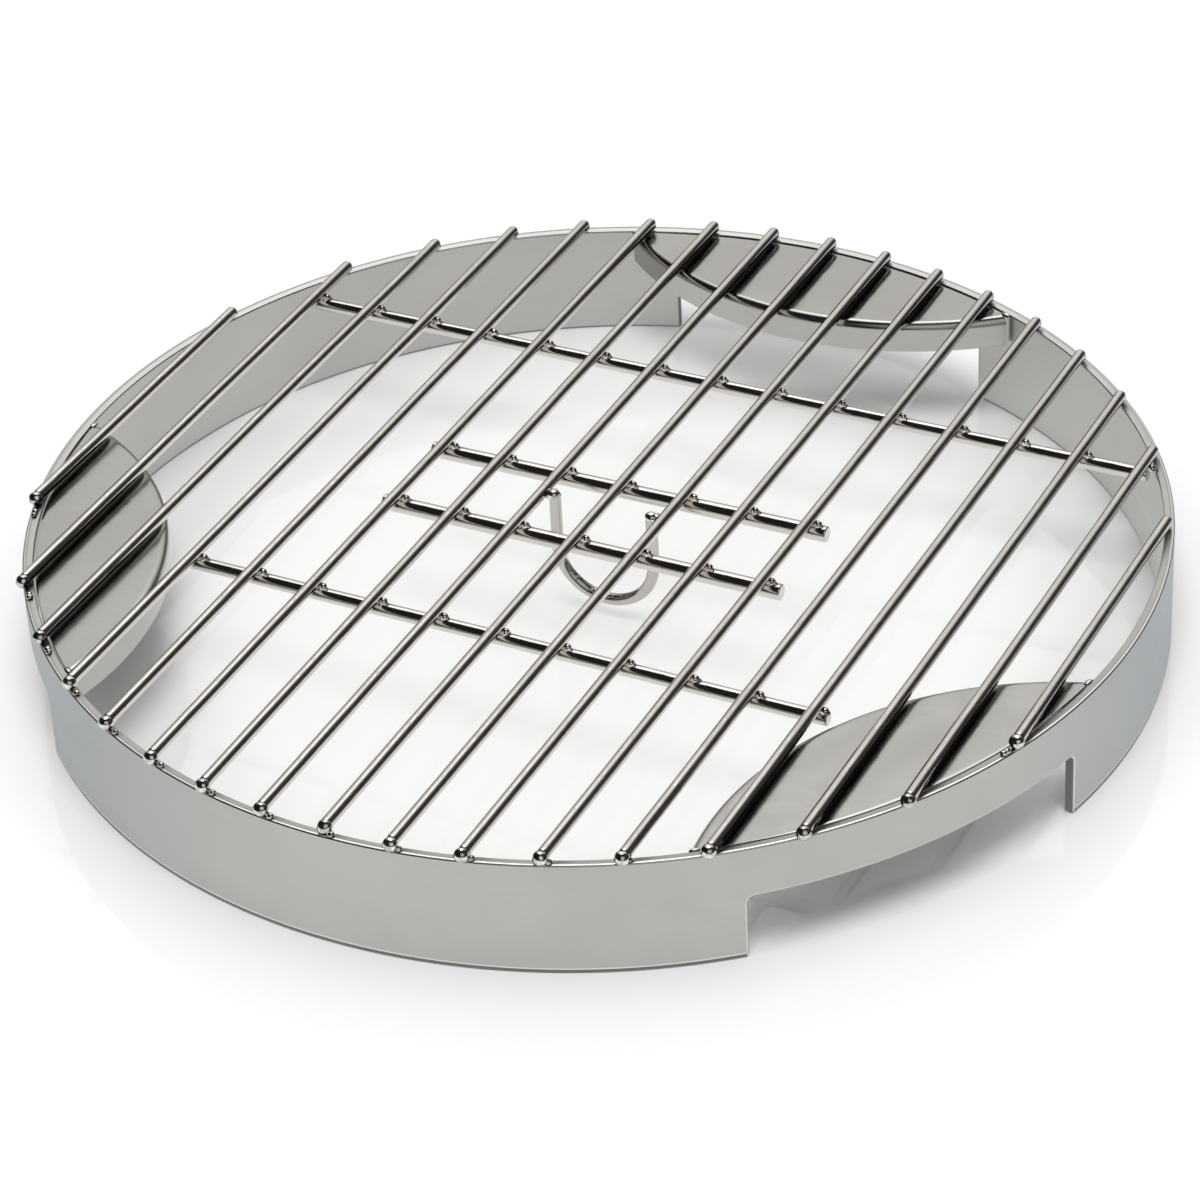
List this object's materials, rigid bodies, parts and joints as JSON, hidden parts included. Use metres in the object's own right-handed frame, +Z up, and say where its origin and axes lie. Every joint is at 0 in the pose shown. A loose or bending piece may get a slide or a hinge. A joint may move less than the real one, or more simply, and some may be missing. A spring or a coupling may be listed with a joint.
{
  "type": "grill grate",
  "caption": "Round welded grill grate: rods across a notched steel ring that stands on its edge, with inner shelves and a wire lifting loop.",
  "frame": {"origin": "middle of the ring, on the surface that it stands on", "axes": "+Z up, square to the grate; the top rods run along Y and the cross rods along X, give or take a degree"},
  "size_m": [0.325, 0.325, 0.0388],
  "materials": {
    "band_steel": "brushed along the band, satin",
    "rod_wire": "drawn wire, bright plated",
    "loop_wire": "drawn wire, bright plated",
    "shelf_sheet": "semi-bright rolled sheet"
  },
  "bodies": {
    "root": {"rim_band": "band_steel", "grate_rod_01": "rod_wire", "grate_rod_02": "rod_wire", "grate_rod_03": "rod_wire", "grate_rod_04": "rod_wire", "grate_rod_05": "rod_wire", "grate_rod_06": "rod_wire", "grate_rod_07": "rod_wire", "grate_rod_08": "rod_wire", "grate_rod_09": "rod_wire", "grate_rod_10": "rod_wire", "grate_rod_11": "rod_wire", "grate_rod_12": "rod_wire", "grate_rod_13": "rod_wire", "grate_rod_14": "rod_wire", "grate_rod_15": "rod_wire", "grate_rod_16": "rod_wire", "grate_rod_17": "rod_wire", "cross_rod_far": "rod_wire", "cross_rod_middle_far": "rod_wire", "cross_rod_middle_near": "rod_wire", "cross_rod_near": "rod_wire", "notch_shelf_1": "shelf_sheet", "notch_shelf_2": "shelf_sheet", "notch_shelf_3": "shelf_sheet", "lifting_loop": "loop_wire"}
  },
  "joints": []
}
